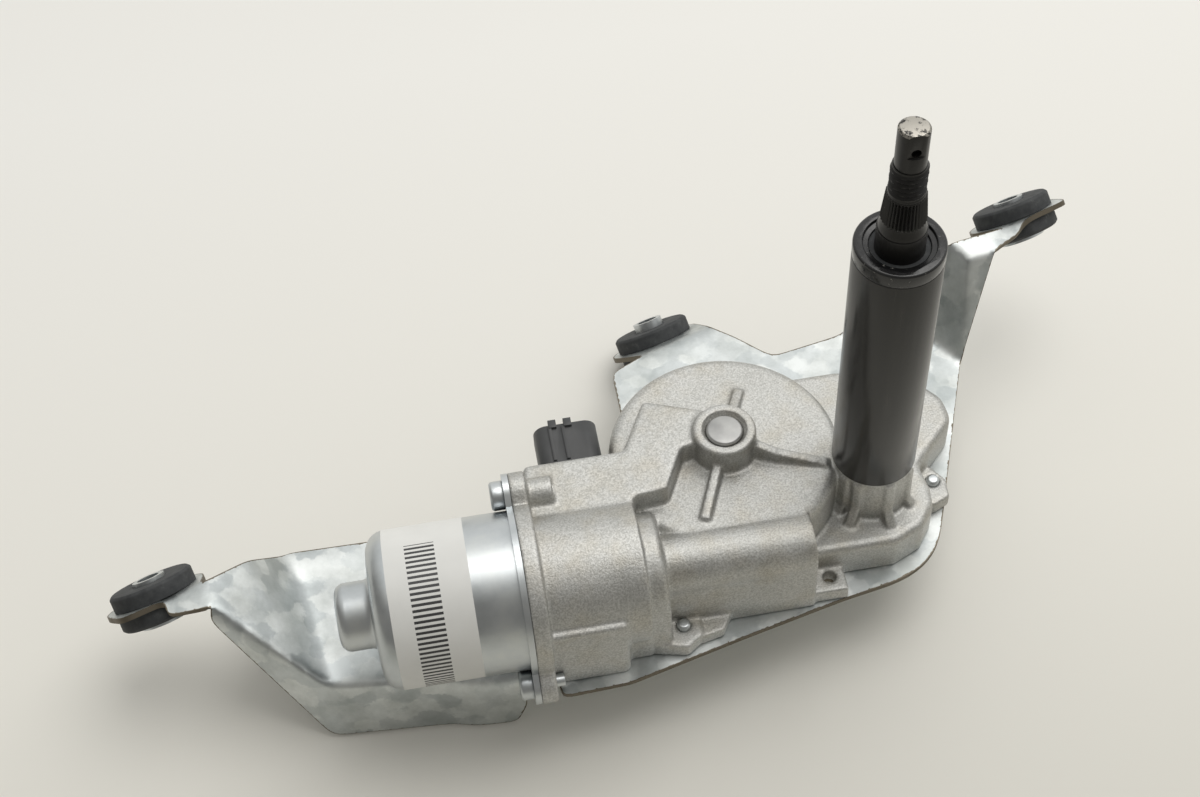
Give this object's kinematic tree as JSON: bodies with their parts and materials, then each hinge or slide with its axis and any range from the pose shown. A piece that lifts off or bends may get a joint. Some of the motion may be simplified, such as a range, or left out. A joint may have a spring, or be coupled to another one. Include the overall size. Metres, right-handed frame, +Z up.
{
  "type": "rear wiper motor",
  "caption": "Rear window wiper motor: drawn motor can, cast worm gear housing, sleeved output spindle and a folded bracket on rubber grommets.",
  "frame": {"origin": "on the output spindle's axis, where the black sleeve seats on the casting", "axes": "+Z up the output spindle, +X from the motor can to the gearbox, +Y to the back"},
  "size_m": [0.3201, 0.1548, 0.1952],
  "materials": {
    "die_cast_aluminium": "bead-blasted",
    "black_enamelled_steel": "satin",
    "black_plastic_cap": "gloss",
    "black_plastic": "matte",
    "black_oxide_steel": "satin",
    "zinc_plated_steel": "bright zinc",
    "galvanised_steel": "spangled zinc",
    "ground_steel": "ground",
    "spring_steel": "oiled",
    "laminated_steel": "varnished",
    "ferrite": "matte",
    "sintered_bronze": "sintered",
    "brass_strip": "stamped",
    "copper": "enamelled",
    "carbon": "pressed",
    "acetal": "moulded",
    "laminate_board": "pressed",
    "rubber": "matte",
    "label_paper": "satin"
  },
  "bodies": {
    "housing": {"gear_housing": "die_cast_aluminium", "tower_sleeve": "black_enamelled_steel", "sleeve_cap": "black_plastic_cap", "shaft_seal": "rubber", "upper_bush": "sintered_bronze", "lower_bush": "sintered_bronze", "spindle_washer": "ground_steel", "thrust_washer": "ground_steel", "wheel_pin": "ground_steel", "wheel_washer": "ground_steel", "wheel_clip": "spring_steel", "contact_plate": "laminate_board", "contact_fingers": "brass_strip", "motor_can": "zinc_plated_steel", "magnets": "ferrite", "thrust_pad": "acetal", "front_bush": "sintered_bronze", "rear_bush": "sintered_bronze", "brush_plate": "laminate_board", "brushes": "carbon", "brush_springs": "spring_steel", "connector_socket": "black_plastic", "connector_blades": "brass_strip", "cover_screws": "zinc_plated_steel", "motor_screws": "zinc_plated_steel", "mounting_bracket": "galvanised_steel", "can_label": "label_paper", "left_grommet": "rubber", "left_mount_sleeve": "zinc_plated_steel", "middle_grommet": "rubber", "middle_mount_sleeve": "zinc_plated_steel", "right_grommet": "rubber", "right_mount_sleeve": "zinc_plated_steel"},
    "armature": {"armature_shaft": "ground_steel", "armature_core": "laminated_steel", "windings": "copper", "commutator": "copper", "thrust_ball": "ground_steel"},
    "wheel": {"worm_wheel": "acetal", "crank_pin": "ground_steel", "park_disc": "brass_strip"},
    "spindle": {"output_spindle": "black_oxide_steel", "drive_pinion": "ground_steel", "spindle_clip": "spring_steel", "link_clip": "spring_steel"},
    "rocker": {"rocker_link": "ground_steel", "sector_pin": "ground_steel"},
    "sector": {"sector_link": "ground_steel"}
  },
  "joints": [
    {"name": "armature_spin", "type": "hinge", "parent": "housing", "child": "armature", "pos_m": [-0.13, -0.0217, -0.009], "axis": [1, 0, 0], "continuous": true},
    {"name": "wheel_spin", "type": "hinge", "parent": "housing", "child": "wheel", "pos_m": [-0.043, 0.0113, -0.009], "axis": [0, 0, 1], "continuous": true},
    {"name": "spindle_swing", "type": "hinge", "parent": "housing", "child": "spindle", "pos_m": [0, 0, 0], "axis": [0, 0, 1], "range_deg": [0, 110.88]},
    {"name": "rocker_swing", "type": "hinge", "parent": "housing", "child": "rocker", "pos_m": [0, 0, -0.026], "axis": [0, 0, 1], "range_deg": [0, 40.01]},
    {"name": "sector_turn", "type": "hinge", "parent": "rocker", "child": "sector", "pos_m": [0.00738, 0.02753, -0.023], "axis": [0, 0, 1], "range_deg": [-32.72, 0]}
  ],
  "couplings": [
    {"joint": "wheel_spin", "follows": "armature_spin", "ratio": -0.017544},
    {"joint": "rocker_swing", "follows": "spindle_swing", "ratio": 0.36076},
    {"joint": "sector_turn", "follows": "spindle_swing", "ratio": -0.29503}
  ]
}
